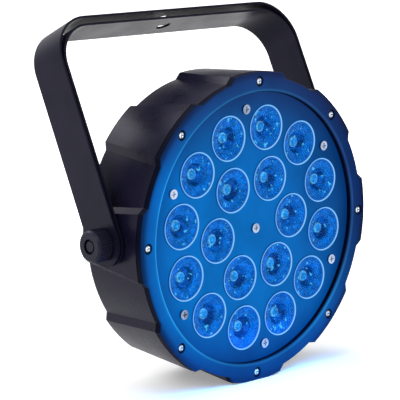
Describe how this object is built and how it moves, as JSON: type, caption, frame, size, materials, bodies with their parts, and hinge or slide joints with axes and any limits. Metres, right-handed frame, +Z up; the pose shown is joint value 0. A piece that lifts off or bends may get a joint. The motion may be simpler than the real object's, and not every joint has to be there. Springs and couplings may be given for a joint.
{
  "type": "par can light",
  "caption": "Flat round LED par can light: a lobed black housing with a ring pattern of lenses behind a recessed plate, two nested tilting yokes, clamp knobs and a rear control panel.",
  "frame": {"origin": "under the middle of the light's box, on the surface that it stands on", "axes": "+X along the tilt axis, -Y out of the lenses, +Z up"},
  "size_m": [0.2346, 0.1064, 0.2361],
  "materials": {
    "bezel_plastic": "fine satin texture, lit blue by the lenses",
    "housing_plastic": "fine moulded texture",
    "plate_paint": "satin black paint, lit blue by the lenses",
    "lens_acrylic": "clear acrylic with a pebbled face",
    "holder_plastic": "matte",
    "emitter": "clear silicone dome on a white package",
    "board": "white solder mask",
    "sink_aluminium": "milled",
    "screw_steel": "bright zinc plate",
    "black_steel": "fine black powder coat",
    "zinc_steel": "zinc plate",
    "circuit_board": "green solder mask",
    "components": "mixed moulded parts",
    "display_glass": "tinted window",
    "display_body": "matte",
    "button_plastic": "satin",
    "socket_plastic": "moulded nylon",
    "knob_plastic": "fine texture",
    "washer_nylon": "plain",
    "insert_brass": "turned"
  },
  "bodies": {
    "housing": {"control_board": "circuit_board", "display_module": "display_body", "display_window": "display_glass", "dmx_input_socket": "socket_plastic", "dmx_output_socket": "socket_plastic", "face_plate": "plate_paint", "friction_washers": "washer_nylon", "front_bezel": "bezel_plastic", "fuse_holder": "socket_plastic", "heat_sink": "sink_aluminium", "led_board": "board", "led_emitters": "emitter", "lens_01": "lens_acrylic", "lens_02": "lens_acrylic", "lens_03": "lens_acrylic", "lens_04": "lens_acrylic", "lens_05": "lens_acrylic", "lens_06": "lens_acrylic", "lens_07": "lens_acrylic", "lens_08": "lens_acrylic", "lens_09": "lens_acrylic", "lens_10": "lens_acrylic", "lens_11": "lens_acrylic", "lens_12": "lens_acrylic", "lens_13": "lens_acrylic", "lens_14": "lens_acrylic", "lens_15": "lens_acrylic", "lens_16": "lens_acrylic", "lens_17": "lens_acrylic", "lens_18": "lens_acrylic", "lens_holders": "holder_plastic", "panel_screws": "screw_steel", "pivot_inserts": "insert_brass", "plate_screws": "screw_steel", "plate_standoffs": "zinc_steel", "post_screws": "screw_steel", "power_inlet": "socket_plastic", "power_outlet": "socket_plastic", "rear_housing": "housing_plastic", "rear_panel": "black_steel", "rim_screws": "screw_steel", "safety_eye": "zinc_steel", "supply_board": "circuit_board", "supply_components": "components", "supply_tray": "zinc_steel"},
    "outer_yoke": {"outer_yoke": "black_steel"},
    "inner_yoke": {"inner_yoke": "black_steel", "spacer_washers": "washer_nylon"},
    "knob_left": {"knob_left": "knob_plastic", "knob_stud_left": "zinc_steel", "knob_washer_left": "washer_nylon"},
    "knob_right": {"knob_right": "knob_plastic", "knob_stud_right": "zinc_steel", "knob_washer_right": "washer_nylon"},
    "menu_button_1": {"menu_button_1": "button_plastic"},
    "menu_button_2": {"menu_button_2": "button_plastic"},
    "menu_button_3": {"menu_button_3": "button_plastic"},
    "menu_button_4": {"menu_button_4": "button_plastic"}
  },
  "joints": [
    {"name": "outer_yoke_tilt", "type": "hinge", "parent": "housing", "child": "outer_yoke", "pos_m": [0, -0.02323, 0.1004], "axis": [1, 0, 0], "continuous": true},
    {"name": "inner_yoke_tilt", "type": "hinge", "parent": "housing", "child": "inner_yoke", "pos_m": [0, -0.02323, 0.1004], "axis": [1, 0, 0], "continuous": true},
    {"name": "knob_left_turn", "type": "hinge", "parent": "housing", "child": "knob_left", "pos_m": [-0.112, -0.02323, 0.1004], "axis": [-1, 0, 0], "range_deg": [0, 360]},
    {"name": "knob_right_turn", "type": "hinge", "parent": "housing", "child": "knob_right", "pos_m": [0.112, -0.02323, 0.1004], "axis": [1, 0, 0], "range_deg": [0, 360]},
    {"name": "menu_button_1_press", "type": "slide", "parent": "housing", "child": "menu_button_1", "axis": [0, -1, 0], "range_m": [0, 0.0006], "stiffness_N_per_m": 300},
    {"name": "menu_button_2_press", "type": "slide", "parent": "housing", "child": "menu_button_2", "axis": [0, -1, 0], "range_m": [0, 0.0006], "stiffness_N_per_m": 300},
    {"name": "menu_button_3_press", "type": "slide", "parent": "housing", "child": "menu_button_3", "axis": [0, -1, 0], "range_m": [0, 0.0006], "stiffness_N_per_m": 300},
    {"name": "menu_button_4_press", "type": "slide", "parent": "housing", "child": "menu_button_4", "axis": [0, -1, 0], "range_m": [0, 0.0006], "stiffness_N_per_m": 300}
  ]
}
